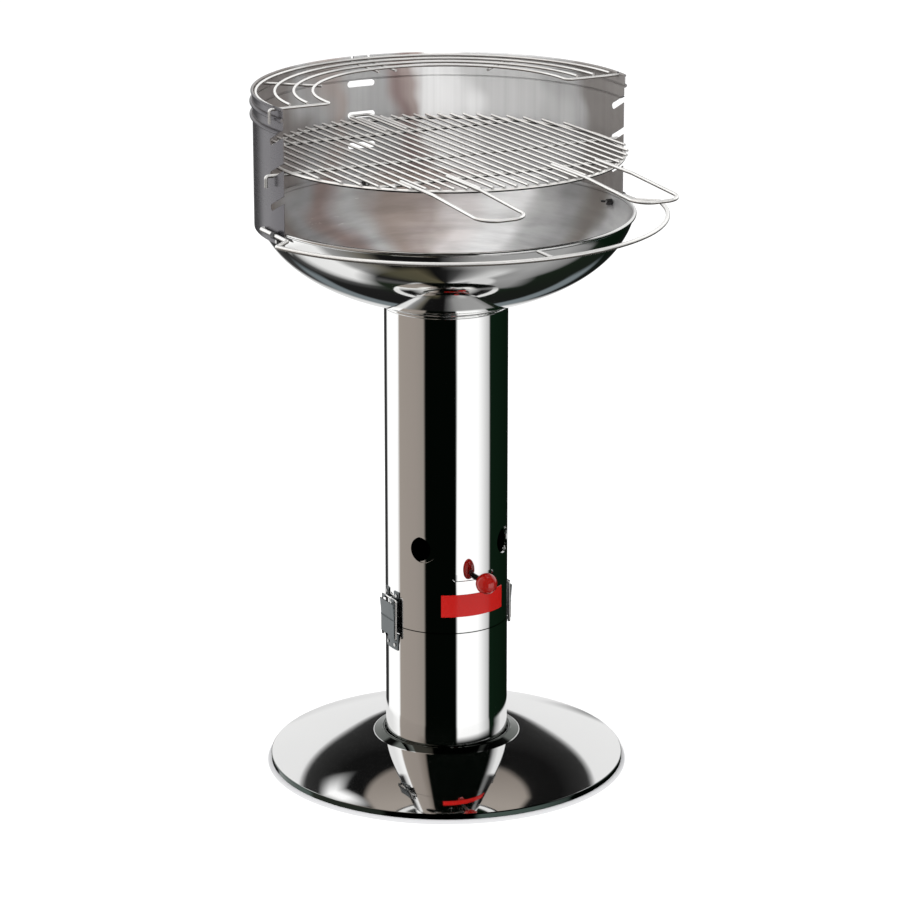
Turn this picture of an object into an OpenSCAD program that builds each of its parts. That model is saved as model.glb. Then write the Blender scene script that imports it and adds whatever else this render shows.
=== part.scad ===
// Charcoal grill on a column: dish foot, two-piece steel column, round bowl, half-round windscreen.
// Millimetres. The origin is on the floor at the middle of the foot, +Z is up and the front is -Y.
// Azimuths are in degrees from the front, positive towards +X.

/* [Foot] */
// Radius of the foot dish
foot_r = 250; // [220:5:290]
// Height of the turned-down rim of the dish
foot_rim_h = 8; // [5:1:12]
// Slope of the dish at its rim
foot_rim_slope = 21; // [16:1:24]
// Slope of the dish round its seat
foot_seat_slope = 2; // [1:0.5:5]
// Height of the flat seat in the middle of the dish
foot_seat_z = 36; // [30:1:50]
// Thickness of the foot's sheet
foot_t = 1.5; // [1:0.1:2]
// Height of the collar round the seat
collar_h = 7; // [5:1:12]
// Radius of the circle of foot bolts
foot_bolt_circle = 50; // [35:1:65]
// Diameter of the foot bolts
foot_bolt_d = 6; // [5:1:8]
// Number of foot bolts
foot_bolt_n = 3; // [3:1:6]

/* [Column] */
// Outer radius of the column
col_r = 86; // [80:1:92]
// Thickness of the column's sheet
col_t = 1.2; // [0.8:0.1:1.6]
// Height of the seam between the ash pot and the upper tube
seam_z = 210; // [190:1:240]
// Length of the upper tube
tube_len = 456; // [400:2:520]
// Length of the pot's neck inside the upper tube
neck_len = 26; // [20:1:30]
// Radius of the rolled bead at the top of the upper tube
col_bead_r = 2.2; // [1.6:0.1:3]

/* [Air regulator] */
// Height of the air holes above the seam
hole_rise = 121; // [116:1:130]
// Diameter of the air holes in the column
hole_d = 38; // [30:1:42]
// Azimuth of the first air hole
hole_az = -49.5; // [-53:0.5:-44]
// Number of air holes
hole_n = 4; // [3:1:4]
// How much smaller the holes in the sliding sleeve are
sleeve_hole_less = 3; // [1:1:8]
// How far the sleeve's holes stand from the column's at rest
sleeve_offset = -5; // [-8:1:0]
// Thickness of the sleeve
sleeve_t = 1; // [0.8:0.1:1.4]
// Height of the sleeve
sleeve_h = 100; // [90:2:110]
// Height of the regulator's slot above the seam
slot_rise = 81; // [79:1:84]
// Width of the slot
slot_w = 10; // [9:0.5:12]
// Azimuth of each end of the slot
slot_az = 21.8; // [18:0.2:24]
// Diameter of the knob's bolt
stem_d = 8; // [6:0.5:8]
// Diameter of the knob's ball
knob_d = 30; // [24:1:36]
// Distance of the ball's centre from the column's wall
knob_reach = 34; // [26:1:44]

/* [Label plate] */
// Height of the label plate
label_h = 32; // [24:1:36]
// Height of its middle above the seam
label_rise = 40.5; // [38:0.5:46]
// Angle that it covers
label_span = 67.6; // [40:1:80]
// Azimuth of its middle
label_az = 1.5; // [-4:0.5:4]
// Thickness of the label plate
label_t = 0.7; // [0.5:0.1:1]

/* [Latches] */
// Distance of a lever's pivot from the column's wall
pivot_out = 4; // [3.5:0.1:4.5]
// How far a lever's pivot lies below the seam
pivot_drop = 15; // [13:1:17]
// Throw of the wire bail's end about the pivot
latch_throw = 3.5; // [3:0.1:3.6]
// Height of the bail's cross bar above the seam
bail_rise = 39; // [37:1:41]
// Wire diameter of the bail
bail_d = 2.5; // [2:0.1:2.8]
// Height of the lever's free end above the seam
lever_rise = 34.5; // [26:0.5:36]
// Half of the lever's width
lever_half = 19.4; // [17:0.2:20]
// Thickness of the latch parts' sheet
latch_t = 1.2; // [1:0.1:1.4]

/* [Bowl] */
// Radius of the bowl to the middle of its rolled rim
bowl_r = 257.5; // [240:0.5:280]
// Depth of the bowl, from the column's top to the middle of its rolled rim
bowl_h = 127; // [110:1:150]
// Radius of the rolled rim
rim_bead_r = 3; // [2:0.1:3.4]
// Thickness of the bowl's sheet
bowl_t = 1.2; // [0.8:0.1:1.6]
// Slope of the wall at the rim
rim_slope = 75; // [70:1:80]
// Slope of the wall at the neck
neck_slope = 10; // [8:1:16]
// Fullness of the wall below the rim
bowl_full = 94; // [80:1:105]
// Length of the bowl's neck inside the column
flue_len = 20; // [14:1:30]

/* [Charcoal grate] */
// Radius of the grate's ring
coal_r = 108; // [100:1:125]
// Diameter of the grate's wires
coal_wire = 5; // [4:0.5:6]
// Distance between its bars
coal_pitch = 18; // [14:1:24]
// Height of its lifting loops
coal_loop_h = 16; // [12:1:24]

/* [Windscreen] */
// Gap between the bowl's rim and the windscreen
screen_gap = 0.4; // [0.3:0.1:2]
// Thickness of its sheet
screen_t = 1.2; // [0.8:0.1:1.6]
// Height of the windscreen
screen_h = 187; // [180:1:200]
// How far its bottom edge lies below the middle of the bowl's rim
screen_drop = 15; // [14:1:20]
// Azimuth of its front edges
screen_az = 82.5; // [80:0.5:84]
// Radius of the hem round its top edge
hem_r = 1.9; // [1.5:0.1:2.2]
// Distance of the upper bead below its top edge
bead_drop = 16; // [12:0.5:18]
// Distance from one bead to the next
bead_step = 18; // [14:0.5:22]
// Radius of the beads
screen_bead_r = 2.7; // [2:0.1:3.2]
// Diameter of the screws that hold the windscreen
screw_d = 4; // [3:0.5:4]
// How far those screws lie below the middle of the bowl's rim
screw_drop = 10; // [9:0.5:11]
// Azimuth of the two front screws
screw_az = 86; // [85:0.5:88]

/* [Grid supports] */
// Height of the wire in the middle notch above the bowl's rim
hang_rise = 75.75; // [70:0.25:84]
// Distance from one grid height to the next
hang_step = 44.5; // [38:0.5:46]
// Width of the notches
notch_w = 9; // [7:0.5:10]
// Slope of the notches
notch_slope = 26; // [20:1:32]
// Distance of a notch's inner end from the bowl's middle line
notch_y = -2; // [-4:0.5:0]
// Width of the rear slots
tab_slot_w = 43; // [40:1:50]
// Height of the rear slots
tab_slot_h = 9; // [8:0.5:10]

/* [Cooking grid] */
// Gap between the windscreen and the middle of the grid's ring
grid_gap = 17.9; // [14:0.1:30]
// Diameter of the ring and its cross wires
grid_wire = 5; // [4:0.5:6]
// Diameter of the bars
bar_d = 3.5; // [3:0.25:4]
// Distance between the bars
bar_pitch = 16; // [14:0.5:18]
// How far the bars stand out past the ring's middle
bar_past = 4; // [3:0.5:5]
// Distance of the front and rear cross wires from the ring
cross_inset = 91; // [70:1:120]
// Length of the bent end of the hanging wire
hook_len = 15; // [8:1:20]
// Distance of each handle's inner wire from the middle
handle_in = 79; // [60:1:90]
// Width of each handle
handle_w = 68; // [50:1:76]
// Length of the handles beyond the ring
handle_len = 141; // [100:1:180]
// How far the handles' ends lie below their roots
handle_drop = 8; // [4:1:14]
// Bend radius of the handles
handle_bend = 26; // [10:1:30]
// How far the rear tab stands out past the windscreen
tab_past = 5.9; // [4.5:0.1:6.4]

/* [Warming rack] */
// Diameter of the rack's wires
rack_wire = 4; // [3:0.5:4.5]
// Depth of the rack below the windscreen's top edge
rack_drop = 4; // [4:0.5:7]
// Gap between the windscreen and the rack's outer wire
rack_gap = 3.4; // [3:0.1:12]
// Distance between its curved wires
rack_step = 25.8; // [20:0.2:30]
// Distance of the end wires in front of the middle
rack_end_y = 15; // [12:0.5:18]
// Azimuth of the rack's side spokes
spoke_az = 133; // [120:1:150]
// Distance between the two rear spokes
rear_spoke_gap = 26; // [16:1:34]
// Length of the rack's bent ends
rack_hook = 19; // [10:1:30]

/* [Front rail] */
// Distance of the front rail from the windscreen's line
rail_reach = 40.9; // [32:0.1:56]
// Diameter of its wire
rail_d = 6; // [5:0.5:7]
// How far the rail lies below the middle of the bowl's rim
rail_drop = 1.5; // [0:0.5:2]
// Azimuth where the rail leaves its arc
rail_az = 72; // [66:1:76]
// Distance in front of the middle where the rail's sides begin
rail_crank_y = 58; // [50:1:66]
// Diameter of the front strut
strut_d = 5; // [4:0.5:6]

/* [Hidden] */
$fn = 96;

// Running gap between parts that move past each other
gap = 0.3;
// How far a cut runs past what it goes through
through = 40;
// Gap between wires that touch where they are welded
weld = 0.1;
// How far a straight length of wire reaches into its bend, and how much thicker the bend is
bend_lap = 0.3;
bend_full = 0.1;

steel = [0.78, 0.79, 0.80];
bright = [0.86, 0.87, 0.88];
dark_steel = [0.42, 0.44, 0.45];
red = [0.75, 0.08, 0.06];
black = [0.10, 0.10, 0.10];

// Places that follow from the sizes above

col_top_z = seam_z + tube_len;
hole_z = seam_z + hole_rise;
slot_z = seam_z + slot_rise;
label_z = seam_z + label_rise;
knob_r = col_r + knob_reach;
pivot_x = col_r + pivot_out;
pivot_z = seam_z - pivot_drop;
bail_top_z = seam_z + bail_rise;
lever_top_z = seam_z + lever_rise;
rim_z = col_top_z + bowl_h;
screen_r = bowl_r + rim_bead_r + screen_gap;
screen_out = screen_r + screen_t;
screen_z0 = rim_z - screen_drop;
screen_z1 = screen_z0 + screen_h;
screw_z = rim_z - screw_drop;
rail_z = rim_z - rail_drop;
rail_r = screen_out + rail_reach;
hang_z = rim_z + hang_rise;
grid_r = screen_r - grid_gap;
cross_y = grid_r - cross_inset;
rack_z = screen_z1 - rack_drop;
rack_r1 = screen_r - rack_gap;
rack_r0 = rack_r1 - 3 * rack_step;

// Flat outlines

function unit(v) = v / norm(v);

// Left-hand normal at each point of an open path
function normals(path) = [
    for (i = [0 : len(path) - 1])
        let (u = unit(path[min(i + 1, len(path) - 1)] - path[max(i - 1, 0)]))
            [-u[1], u[0]]
];

// Closed outline of a sheet of thickness t to the left of a path
function sheet(path, t) =
    let (n = normals(path))
        concat(path, [for (i = [len(path) - 1 : -1 : 0]) path[i] + t * n[i]]);

function arc(centre, r, a0, a1, steps) = [
    for (i = [0 : steps]) centre + r * [cos(a0 + (a1 - a0) * i / steps), sin(a0 + (a1 - a0) * i / steps)]
];

function bezier(p, t) =
    pow(1 - t, 3) * p[0] + 3 * pow(1 - t, 2) * t * p[1] + 3 * (1 - t) * t * t * p[2] + pow(t, 3) * p[3];

// A slot with round ends, its length along X
module slot_2d(length, width) {
    square([length - width, width], center = true);
    for (side = [-1, 1])
        translate([side * (length - width) / 2, 0])
            circle(d = width);
}

// Placing

// Puts what is built along +X at an azimuth
module at_azimuth(az) {
    rotate([0, 0, az - 90])
        children();
}

// Turns a flat outline so that its X runs to the front and its Y upwards
module face_side() {
    rotate([90, 0, -90])
        children();
}

// Wires

function heading(p, q) = atan2(q[1] - p[1], q[0] - p[0]);
function wrapped(a) = a > 180 ? a - 360 : a < -180 ? a + 360 : a;
function turn(p, i) = i <= 0 || i >= len(p) - 1 ? 0 : wrapped(heading(p[i], p[i + 1]) - heading(p[i - 1], p[i]));
function setback(p, i, r) = r * tan(abs(turn(p, i)) / 2);

// A wire along points in the XY plane, bent with radius r at each inner point
module bent_wire(p, d, r) {
    translate([p[0][0], p[0][1], 0])
        rotate([0, 0, heading(p[0], p[1])])
            wire_leg(p, 0, d, r);
}

// A straight length along X, the bend at its end, and the rest of the wire beyond it.
// Each length ends a little inside its bends, which are a hair thicker.
module wire_leg(p, i, d, r) {
    last = i == len(p) - 2;
    back = i == 0 ? 0 : bend_lap;
    ahead = last ? 0 : bend_lap;
    length = norm(p[i + 1] - p[i]) - setback(p, i, r) - setback(p, i + 1, r);
    side = turn(p, i + 1) > 0 ? 1 : -1;
    bend = abs(turn(p, i + 1));
    translate([-back, 0, 0])
        rotate([0, 90, 0])
            cylinder(h = length + back + ahead, d = d);
    if (!last)
        translate([length, side * r, 0]) {
            rotate([0, 0, side > 0 ? -90 : 90 - bend])
                rotate_extrude(angle = bend)
                    translate([r, 0])
                        circle(d = d + bend_full);
            rotate([0, 0, side * bend])
                translate([0, -side * r, 0])
                    wire_leg(p, i + 1, d, r);
        }
}

// A wire ring or arc from one azimuth to another
module wire_arc(r, d, az0, az1) {
    at_azimuth(az0)
        rotate_extrude(angle = az1 - az0)
            translate([r, 0])
                circle(d = d);
}

module straight_wire_x(x0, x1, d) {
    translate([x0, 0, 0])
        rotate([0, 90, 0])
            cylinder(h = x1 - x0, d = d);
}

module straight_wire_y(y0, y1, d) {
    translate([0, y0, 0])
        rotate([-90, 0, 0])
            cylinder(h = y1 - y0, d = d);
}

module hex_prism(across_flats, h) {
    cylinder(h = h, d = across_flats / cos(30), $fn = 6);
}

// Foot

collar_r = col_r + 4;
collar_bead_r = 2.4;
collar_z = foot_seat_z + collar_h - collar_bead_r;
rim_round = 2.5;

// The dish is a shallow dome: steep at its rim and almost flat round the seat
dish_start = [foot_r - rim_round, foot_rim_h - rim_round] + rim_round * [sin(foot_rim_slope), cos(foot_rim_slope)];
dish_end = [collar_r + 14, foot_seat_z + 1];
dish_third = (dish_start[0] - dish_end[0]) / 3;
dish_handles = [
    dish_start,
    dish_start + dish_third * [-1, tan(foot_rim_slope)],
    dish_end + dish_third * [1, -tan(foot_seat_slope)],
    dish_end
];

// Upper face of the dish, from the floor at the rim to the middle
foot_path = concat(
    [[foot_r, 0]],
    arc([foot_r - rim_round, foot_rim_h - rim_round], rim_round, 0, 90 - foot_rim_slope, 5),
    [for (i = [1 : 12]) bezier(dish_handles, i / 12)],
    arc([collar_r, collar_z], collar_bead_r, 20, 180, 10),
    [[collar_r - collar_bead_r, foot_seat_z + 0.6], [collar_r - collar_bead_r - 0.6, foot_seat_z], [0, foot_seat_z]]
);

module foot_bolt_places() {
    for (i = [0 : foot_bolt_n - 1])
        at_azimuth(i * 360 / foot_bolt_n)
            translate([foot_bolt_circle, 0, 0])
                children();
}

module foot_dish() {
    color(bright)
        difference() {
            rotate_extrude()
                polygon(sheet(foot_path, foot_t));
            foot_bolt_places()
                translate([0, 0, foot_seat_z - 3 * foot_t])
                    cylinder(h = 6 * foot_t, d = foot_bolt_d + 0.6);
        }
}

bolt_head_h = 0.65 * foot_bolt_d;
bolt_flats = 1.65 * foot_bolt_d;
foot_nut_h = 0.8 * foot_bolt_d;
pot_floor_z = foot_seat_z + col_t;

module foot_bolts() {
    color(steel)
        foot_bolt_places()
            translate([0, 0, foot_seat_z - foot_t]) {
                translate([0, 0, -bolt_head_h])
                    hex_prism(bolt_flats, bolt_head_h);
                cylinder(h = foot_t + col_t + foot_nut_h + 3, d = foot_bolt_d);
            }
}

module foot_nuts() {
    color(steel)
        foot_bolt_places()
            translate([0, 0, pot_floor_z])
                difference() {
                    hex_prism(bolt_flats, foot_nut_h);
                    translate([0, 0, -1])
                        cylinder(h = foot_nut_h + 2, d = foot_bolt_d + 0.1);
                }
}

// Ash pot: the lower length of the column, closed at its foot, with a neck for the upper tube

neck_r = col_r - col_t - 0.4;

module ash_pot() {
    outline = [
        [0, foot_seat_z], [col_r - 1, foot_seat_z], [col_r, foot_seat_z + 1], [col_r, seam_z],
        [neck_r, seam_z], [neck_r, seam_z + neck_len - 2], [neck_r - 0.6, seam_z + neck_len],
        [neck_r - col_t, seam_z + neck_len], [neck_r - col_t, pot_floor_z], [0, pot_floor_z]
    ];
    color(bright)
        difference() {
            rotate_extrude()
                polygon(outline);
            foot_bolt_places()
                translate([0, 0, foot_seat_z - 1])
                    cylinder(h = col_t + 2, d = foot_bolt_d + 0.6);
            latch_sides()
                base_rivet_places()
                    translate([col_r - 4, 0, 0])
                        straight_wire_x(0, 8, rivet_d + 0.1);
        }
}

// Upper tube of the column

tube_z0 = seam_z + gap;
tube_in = col_r - col_t;

module air_holes(d) {
    for (i = [0 : hole_n - 1])
        at_azimuth(i * 360 / hole_n)
            translate([col_r / 2, 0, hole_z])
                rotate([0, 90, 0])
                    cylinder(h = col_r, d = d);
}

module regulator_slot() {
    end_az = slot_az - asin(slot_w / 2 / col_r);
    at_azimuth(-end_az)
        rotate_extrude(angle = 2 * end_az)
            translate([col_r - 3, slot_z - slot_w / 2])
                square([6, slot_w]);
    for (side = [-1, 1])
        at_azimuth(side * end_az)
            translate([col_r - 3, 0, slot_z])
                straight_wire_x(0, 6, slot_w);
}

module column() {
    color(bright)
        difference() {
            union() {
                translate([0, 0, tube_z0])
                    cylinder(h = col_top_z - tube_z0, r = col_r);
                rotate_extrude()
                    translate([col_r, col_top_z - col_bead_r])
                        circle(r = col_bead_r);
            }
            translate([0, 0, tube_z0 - 1])
                cylinder(h = col_top_z - tube_z0 + 2 + col_bead_r, r = tube_in);
            rotate([0, 0, hole_az])
                air_holes(hole_d);
            regulator_slot();
            latch_sides()
                keeper_rivet_places()
                    translate([col_r - 4, 0, 0])
                        straight_wire_x(0, 8, rivet_d + 0.1);
        }
}

// Air regulator: a sleeve inside the tube, its ledge, and the knob that turns it

sleeve_r = tube_in - gap;
sleeve_z0 = slot_z - slot_w / 2 - 22;
ledge_h = 3;

module sleeve_ledge() {
    color(steel)
        translate([0, 0, sleeve_z0 - gap - ledge_h])
            difference() {
                cylinder(h = ledge_h, r = tube_in - 0.05);
                translate([0, 0, -1])
                    cylinder(h = ledge_h + 2, r = tube_in - 4);
            }
}

module air_sleeve() {
    color(steel)
        difference() {
            translate([0, 0, sleeve_z0])
                cylinder(h = sleeve_h, r = sleeve_r);
            translate([0, 0, sleeve_z0 - 1])
                cylinder(h = sleeve_h + 2, r = sleeve_r - sleeve_t);
            rotate([0, 0, hole_az + sleeve_offset])
                air_holes(hole_d - sleeve_hole_less);
            at_azimuth(0)
                translate([col_r / 2, 0, slot_z])
                    straight_wire_x(0, col_r, stem_d + 0.1);
        }
}

stem_head_h = 0.5 * stem_d;
stem_head_d = 1.7 * stem_d;
knob_grip = knob_d * 0.72;

module knob_bolt() {
    head_x = sqrt(pow(sleeve_r - sleeve_t, 2) - pow(stem_head_d / 2, 2)) - stem_head_h - weld;
    color(dark_steel)
        at_azimuth(0)
            translate([head_x, 0, slot_z])
                rotate([0, 90, 0]) {
                    cylinder(h = stem_head_h, d = stem_head_d);
                    cylinder(h = knob_r + knob_grip - knob_d / 2 - 0.5 - head_x, d = stem_d);
                }
}

module knob_ball() {
    color(red)
        at_azimuth(0)
            translate([knob_r, 0, slot_z])
                rotate([0, 90, 0])
                    difference() {
                        sphere(d = knob_d);
                        translate([0, 0, -knob_d])
                            cylinder(h = knob_d / 2 + knob_grip, d = stem_d + 0.04);
                    }
}

module label_plate() {
    color(red)
        at_azimuth(label_az - label_span / 2)
            rotate_extrude(angle = label_span)
                translate([col_r + 0.05, label_z - label_h / 2])
                    square([label_t, label_h]);
}

// Latches: a lever on the pot draws a wire bail down over two hooks on the upper tube.
// Each is built on +X, and its width runs along Y.

module latch_sides() {
    for (turned = [0, 180])
        rotate([0, 0, turned])
            children();
}

over_centre = 8;
pin_d = 2;
rivet_d = 3;
bail_end_x = pivot_x + latch_throw * sin(over_centre);
bail_end_z = pivot_z - latch_throw * cos(over_centre);
flange_y = lever_half - latch_t;
ear_y = flange_y - 1.1 - latch_t;
bail_y = lever_half + gap + bail_d / 2;
base_r0 = col_r + 0.05;
base_z0 = pivot_z - 21;
base_z1 = pivot_z + 3;
keeper_z0 = bail_top_z - bail_d / 2 - gap;
keeper_z1 = keeper_z0 + 13;
keeper_az = 9.1;
keeper_half = 6;
lip_x = pivot_x + bail_d / 2 + 0.35;
lip_h = 3;

module base_rivet_places() {
    for (side = [-1, 1])
        rotate([0, 0, side * 6.5])
            translate([0, 0, base_z0 + 7])
                children();
}

module keeper_rivet_places() {
    for (side = [-1, 1])
        rotate([0, 0, side * keeper_az])
            translate([0, 0, keeper_z1 - 6])
                children();
}

// A patch of sheet that lies on the column
module wrapped_patch(half_angle, z0, z1) {
    rotate([0, 0, -half_angle])
        rotate_extrude(angle = 2 * half_angle)
            translate([base_r0, z0])
                square([latch_t, z1 - z0]);
}

// Turns a flat outline so that its X stays and its Y points up, as thick as t from y0
module upright(y0, t) {
    translate([0, y0 + t, 0])
        rotate([90, 0, 0])
            linear_extrude(height = t)
                children();
}

module latch_bases() {
    ear_root = sqrt(pow(col_r, 2) - pow(ear_y, 2)) + 0.25;
    half_angle = asin((ear_y + latch_t) / (base_r0 + latch_t));
    color(dark_steel)
        latch_sides()
            difference() {
                union() {
                    wrapped_patch(half_angle, base_z0, base_z1);
                    for (y0 = [ear_y, -ear_y - latch_t])
                        upright(y0, latch_t) {
                            translate([pivot_x, pivot_z])
                                circle(r = 1.9);
                            polygon([
                                [ear_root, pivot_z - 16], [pivot_x - 0.8, pivot_z - 1.72],
                                [pivot_x, pivot_z + 1.9], [ear_root, base_z1]
                            ]);
                        }
                }
                translate([pivot_x, 0, pivot_z])
                    straight_wire_y(-lever_half, lever_half, pin_d);
                base_rivet_places()
                    straight_wire_x(col_r - 4, col_r + 8, rivet_d + 0.1);
            }
}

module latch_pins() {
    reach = lever_half + gap / 2;
    color(steel)
        latch_sides()
            translate([pivot_x, 0, pivot_z])
                straight_wire_y(-reach, reach, pin_d - 0.1);
}

module latch_keepers() {
    half_angle = asin(keeper_half / base_r0);
    strap_x = sqrt(pow(col_r, 2) - pow(base_r0 * sin(keeper_az + half_angle), 2)) + 1;
    color(dark_steel)
        latch_sides()
            difference() {
                for (side = [-1, 1]) {
                    rotate([0, 0, side * keeper_az])
                        wrapped_patch(half_angle, keeper_z0 - latch_t, keeper_z1);
                    translate([0, side * base_r0 * sin(keeper_az), 0])
                        upright(-keeper_half + 1.5, 2 * keeper_half - 3)
                            polygon([
                                [col_r, keeper_z0 - latch_t], [lip_x + 1, keeper_z0 - latch_t],
                                [lip_x + 1, keeper_z0 + lip_h], [lip_x, keeper_z0 + lip_h],
                                [lip_x, keeper_z0], [col_r, keeper_z0]
                            ]);
                }
                cylinder(h = 2 * keeper_z1, r = base_r0);
                keeper_rivet_places()
                    straight_wire_x(col_r - 4, col_r + 8, rivet_d + 0.1);
            }
}

// Rivets with a flat head inside the tube and a round one outside
module latch_rivet(inner_x) {
    straight_wire_x(inner_x - 0.8, base_r0 + latch_t + 0.6, rivet_d);
    straight_wire_x(inner_x - 1, inner_x - 0.1, 2 * rivet_d);
    straight_wire_x(base_r0 + latch_t + 0.05, base_r0 + latch_t + 1, 1.7 * rivet_d);
}

module latch_rivets() {
    color(steel)
        latch_sides() {
            base_rivet_places()
                latch_rivet(sqrt(pow(neck_r - col_t, 2) - pow(rivet_d, 2)));
            keeper_rivet_places()
                latch_rivet(sqrt(pow(tube_in, 2) - pow(rivet_d, 2)));
        }
}

// The lever's plate, seen from its edge: a joggle across it and a free end that leans out
lever_x = pivot_x + 2.2;
joggle_z = pivot_z + 25.5;
lever_lean = 1.8;
lever_foot_z = pivot_z + 1;

module lever() {
    color(dark_steel)
        difference() {
            union() {
                upright(-lever_half, 2 * lever_half)
                    polygon(sheet([
                        [lever_x, lever_foot_z], [lever_x, joggle_z - 1.4], [lever_x + 0.7, joggle_z],
                        [lever_x, joggle_z + 1.4], [lever_x + lever_lean, lever_top_z]
                    ], -latch_t));
                for (y0 = [flange_y, -lever_half])
                    upright(y0, latch_t) {
                        translate([pivot_x, pivot_z])
                            circle(r = 2.1);
                        translate([bail_end_x, bail_end_z])
                            circle(r = 1.9);
                        polygon([
                            [bail_end_x - 1.85, bail_end_z - 0.4], [bail_end_x + 1.85, bail_end_z + 0.4],
                            [lever_x + 0.5, lever_foot_z], [lever_x + 0.5, pivot_z + 16],
                            [pivot_x - 1.8, pivot_z + 1.1]
                        ]);
                    }
            }
            translate([pivot_x, 0, pivot_z])
                straight_wire_y(-lever_half - 1, lever_half + 1, pin_d + 0.1);
            translate([bail_end_x, 0, bail_end_z])
                straight_wire_y(-lever_half - 1, lever_half + 1, bail_d + 2 * bend_full);
        }
}

// The bail is a wire loop whose two ends turn inwards through the lever's flanges
bail_top_x = pivot_x;
bail_len = norm([bail_top_x - bail_end_x, bail_top_z - bail_end_z]);
bail_lean = atan2(bail_top_x - bail_end_x, bail_top_z - bail_end_z);

module bail() {
    end_y = flange_y - 0.5;
    color(bright)
        translate([bail_end_x, 0, bail_end_z])
            rotate([0, bail_lean, 0])
                rotate([0, -90, 0])
                    bent_wire([
                        [0, end_y], [0, bail_y], [bail_len, bail_y],
                        [bail_len, -bail_y], [0, -bail_y], [0, -end_y]
                    ], bail_d, 0.6 * bail_d);
}

module lever_left() {
    rotate([0, 0, 180])
        lever();
}

module lever_right() {
    lever();
}

module bail_left() {
    rotate([0, 0, 180])
        bail();
}

module bail_right() {
    bail();
}

// Bowl

land_z = col_top_z + 0.2;
bowl_bead_r = 2;
bowl_bead = [col_r + 1, land_z + bowl_bead_r];
bowl_start = bowl_bead + bowl_bead_r * [cos(60), sin(60)];
bowl_end = [bowl_r, rim_z - 0.7 * rim_bead_r];
bowl_handles = [
    bowl_start,
    bowl_start + 10 * [cos(neck_slope), sin(neck_slope)],
    bowl_end - bowl_full * [cos(rim_slope), sin(rim_slope)],
    bowl_end
];
bowl_curve = [for (i = [0 : 30]) bezier(bowl_handles, i / 30)];
bowl_path = concat(
    [[neck_r, land_z - flue_len], [neck_r, land_z - 0.1], [neck_r + 0.3, land_z]],
    arc(bowl_bead, bowl_bead_r, -90, 40, 6),
    bowl_curve
);

function wall_r(z) = lookup(z, [for (p = bowl_curve) [p[1], p[0]]]);
function wall_z(r) = lookup(r, [for (p = bowl_curve) [p[0], p[1]]]);

module bowl() {
    color(bright)
        difference() {
            rotate_extrude() {
                polygon(sheet(bowl_path, bowl_t));
                translate([bowl_r, rim_z])
                    circle(r = rim_bead_r);
            }
            screen_screw_places()
                straight_wire_x(bowl_r - through, bowl_r + through, screw_d + 0.6);
        }
}

// Charcoal grate, loose in the bowl

coal_slope = atan2(wall_z(coal_r + 4) - wall_z(coal_r - 4), 8);
coal_z = wall_z(coal_r) + (bowl_t + gap / 2 + coal_wire / 2) / cos(coal_slope);
coal_bars_z = coal_z + coal_wire + weld;

module coal_ring() {
    color(dark_steel)
        translate([0, 0, coal_z])
            wire_arc(coal_r, coal_wire, 0, 360);
}

module coal_bars() {
    n = floor((coal_r - coal_wire) / coal_pitch);
    color(dark_steel)
        translate([0, 0, coal_bars_z])
            for (i = [-n : n]) {
                half = sqrt(pow(coal_r, 2) - pow(i * coal_pitch, 2));
                translate([i * coal_pitch, 0, 0])
                    straight_wire_y(-half, half, coal_wire);
            }
}

// Two wire loops to lift the grate by, each welded across two bars
module coal_loops() {
    color(dark_steel)
        for (side = [-1, 1])
            translate([0, side * 0.55 * coal_r, coal_bars_z + coal_wire + weld])
                rotate([90, 0, 0])
                    bent_wire([
                        [-1.4 * coal_pitch, 0], [-0.7 * coal_pitch, 0], [-0.5 * coal_pitch, coal_loop_h],
                        [0.5 * coal_pitch, coal_loop_h], [0.7 * coal_pitch, 0], [1.4 * coal_pitch, 0]
                    ], coal_wire, 0.7 * coal_wire);
}

// Windscreen

notch_end = notch_w / 2 - grid_wire / 2 - gap * 0.85;

module notch_2d() {
    circle(d = notch_w);
    rotate([0, 0, notch_slope])
        translate([0, -notch_w / 2])
            square([2 * through, notch_w]);
}

// Puts a cut at each of the three heights of the grid
module hang_heights() {
    for (step = [-1, 0, 1])
        translate([0, 0, step * hang_step])
            children();
}

tab_z = hang_z + grid_wire + weld + grid_wire / 2 + weld + rack_wire / 2;
tab_slot_z = tab_z - rack_wire / 2 - gap * 0.85 + tab_slot_h / 2;

// A notch in the top edge with a round floor for a rack wire at height z
module rim_notch(z) {
    linear_extrude(height = through, center = true) {
        translate([0, z - gap * 0.85 + 0.3])
            circle(d = rack_wire + 0.6);
        translate([-rack_wire / 2 - 0.3, z])
            square([rack_wire + 0.6, through]);
    }
}

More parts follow.
